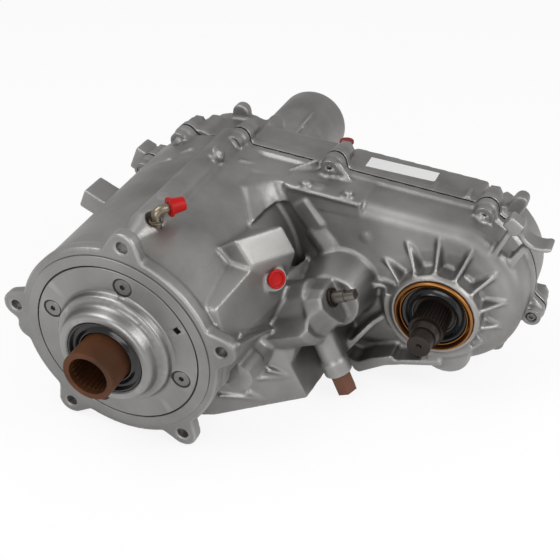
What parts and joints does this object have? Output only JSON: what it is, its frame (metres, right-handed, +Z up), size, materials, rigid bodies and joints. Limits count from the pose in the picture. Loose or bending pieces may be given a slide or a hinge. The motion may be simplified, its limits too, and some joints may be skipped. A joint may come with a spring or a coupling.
{
  "type": "transfer case",
  "caption": "Part-time transfer case with planetary low range, chain-driven front output, shift sector with forks, slip-yoke tail housing and a split cast case.",
  "frame": {"origin": "on the input axis, in the front face of the adapter flange", "axes": "+Y rearwards along the input and both outputs, +X towards the front output, +Z up with the case lying on its sump"},
  "size_m": [0.4708, 0.55, 0.2286],
  "materials": {
    "cast_aluminium": "bead-blasted cast surface",
    "sealant": "cured black sealant",
    "zinc_steel": "zinc plated",
    "bare_steel": "bare, lightly oiled",
    "rusty_steel": "light surface rust",
    "gear_steel": "hardened and ground",
    "dark_steel": "dark, oil-stained",
    "bearing_steel": "ground",
    "rust_brown_steel": "pressed, tinted brown",
    "black_rubber": "smooth",
    "bronze": "machined",
    "red_plastic": "moulded"
  },
  "bodies": {
    "case": {"front_case": "cast_aluminium", "rear_case": "cast_aluminium", "case_sealant": "sealant", "case_bolts": "zinc_steel", "input_bearing_retainer": "cast_aluminium", "retainer_screws": "bare_steel", "input_seal": "black_rubber", "input_bearing_outer": "bearing_steel", "annulus_gear": "gear_steel", "annulus_snap_ring": "bare_steel", "chain": "gear_steel", "front_output_seal_ring": "rust_brown_steel", "front_output_seal_lip": "black_rubber", "front_output_bearing_outer": "bearing_steel", "front_output_rear_bearing_outer": "bearing_steel", "rear_bearing_outer": "bearing_steel", "oil_pump_housing": "cast_aluminium", "oil_pickup_tube": "bare_steel", "tail_housing": "cast_aluminium", "tail_bolts": "zinc_steel", "tail_bush": "bronze", "tail_seal": "black_rubber", "sector_seal": "zinc_steel", "detent_spring": "bare_steel", "detent_plug": "rusty_steel", "shift_rail": "bare_steel", "vent_tube": "bare_steel", "fill_plug": "zinc_steel", "drain_plug": "zinc_steel"},
    "input": {"input_gear": "rusty_steel", "input_bearing_inner": "bearing_steel"},
    "carrier": {"planet_carrier": "gear_steel", "planet_pins": "gear_steel"},
    "planet_1": {"planet_gear_1": "gear_steel"},
    "planet_2": {"planet_gear_2": "gear_steel"},
    "planet_3": {"planet_gear_3": "gear_steel"},
    "main": {"main_shaft": "gear_steel", "mode_hub": "gear_steel", "rear_bearing_inner": "bearing_steel", "oil_pump_rotor": "gear_steel", "tone_ring": "gear_steel"},
    "range": {"range_hub": "gear_steel"},
    "sleeve": {"mode_sleeve": "gear_steel"},
    "drive": {"drive_sprocket": "gear_steel"},
    "front_output": {"front_output_shaft": "dark_steel", "driven_sprocket": "gear_steel", "front_output_bearing_inner": "bearing_steel", "front_output_rear_bearing_inner": "bearing_steel"},
    "sector": {"shift_sector": "bare_steel"},
    "fork_range": {"range_fork": "bare_steel"},
    "fork_mode": {"mode_fork": "bare_steel"},
    "plunger": {"detent_plunger": "bare_steel"},
    "cap_vent": {"vent_cap": "red_plastic"},
    "cap_switch": {"switch_port_plug": "red_plastic"},
    "cap_rear": {"rear_port_cap": "red_plastic"}
  },
  "joints": [
    {"name": "main_shaft_spin", "type": "hinge", "parent": "case", "child": "main", "pos_m": [0, 0.3, 0], "axis": [0, 1, 0], "continuous": true},
    {"name": "input_spin", "type": "hinge", "parent": "case", "child": "input", "pos_m": [0, 0, 0], "axis": [0, 1, 0], "continuous": true},
    {"name": "drive_sprocket_spin", "type": "hinge", "parent": "case", "child": "drive", "pos_m": [0, 0.224, 0], "axis": [0, 1, 0], "continuous": true},
    {"name": "front_output_spin", "type": "hinge", "parent": "case", "child": "front_output", "pos_m": [0.25228, 0.224, -0.0081], "axis": [0, 1, 0], "continuous": true},
    {"name": "carrier_spin", "type": "hinge", "parent": "case", "child": "carrier", "pos_m": [0, 0.05, 0], "axis": [0, 1, 0], "continuous": true},
    {"name": "planet_1_spin", "type": "hinge", "parent": "carrier", "child": "planet_1", "pos_m": [0, 0.051, 0.06413], "axis": [0, 1, 0], "continuous": true},
    {"name": "planet_2_spin", "type": "hinge", "parent": "carrier", "child": "planet_2", "pos_m": [-0.05553, 0.051, -0.03206], "axis": [0, 1, 0], "continuous": true},
    {"name": "planet_3_spin", "type": "hinge", "parent": "carrier", "child": "planet_3", "pos_m": [0.05553, 0.051, -0.03206], "axis": [0, 1, 0], "continuous": true},
    {"name": "range_fork_slide", "type": "slide", "parent": "case", "child": "fork_range", "axis": [0, 1, 0], "range_m": [0, 0.016]},
    {"name": "range_hub_slide", "type": "slide", "parent": "main", "child": "range", "axis": [0, 1, 0], "range_m": [0, 0.0161]},
    {"name": "sector_turn", "type": "hinge", "parent": "case", "child": "sector", "pos_m": [0.136, 0.13, -0.001], "axis": [0.9135, 0, 0.4067], "range_deg": [0, 32.2]},
    {"name": "mode_fork_slide", "type": "slide", "parent": "case", "child": "fork_mode", "axis": [0, 1, 0], "range_m": [-0.01, 0]},
    {"name": "mode_sleeve_slide", "type": "slide", "parent": "main", "child": "sleeve", "axis": [0, 1, 0], "range_m": [-0.0101, 0]},
    {"name": "detent_plunger_slide", "type": "slide", "parent": "case", "child": "plunger", "axis": [0.4067, 0, -0.9135], "range_m": [0, 0.002], "stiffness_N_per_m": 3000, "springref_m": -0.004, "deforming": ["detent_spring"]},
    {"name": "vent_cap_pull", "type": "slide", "parent": "case", "child": "cap_vent", "axis": [0.6222, 0.7828, 0], "range_m": [0, 0.03]},
    {"name": "rear_cap_pull", "type": "slide", "parent": "case", "child": "cap_rear", "axis": [0, 0, 1], "range_m": [0, 0.03]},
    {"name": "switch_plug_pull", "type": "slide", "parent": "case", "child": "cap_switch", "axis": [0.7789, -0.4993, 0.3795], "range_m": [0, 0.03]}
  ],
  "couplings": [
    {"joint": "input_spin", "follows": "main_shaft_spin", "ratio": 1},
    {"joint": "drive_sprocket_spin", "follows": "main_shaft_spin", "ratio": 1},
    {"joint": "front_output_spin", "follows": "main_shaft_spin", "ratio": 1},
    {"joint": "carrier_spin", "follows": "main_shaft_spin", "ratio": 0.36842},
    {"joint": "planet_1_spin", "follows": "main_shaft_spin", "ratio": -1.7684},
    {"joint": "planet_2_spin", "follows": "main_shaft_spin", "ratio": -1.7684},
    {"joint": "planet_3_spin", "follows": "main_shaft_spin", "ratio": -1.7684},
    {"joint": "sector_turn", "follows": "range_fork_slide", "rad_per_m": 34.907},
    {"joint": "range_hub_slide", "follows": "range_fork_slide", "ratio": 1},
    {"joint": "mode_sleeve_slide", "follows": "mode_fork_slide", "ratio": 1}
  ]
}
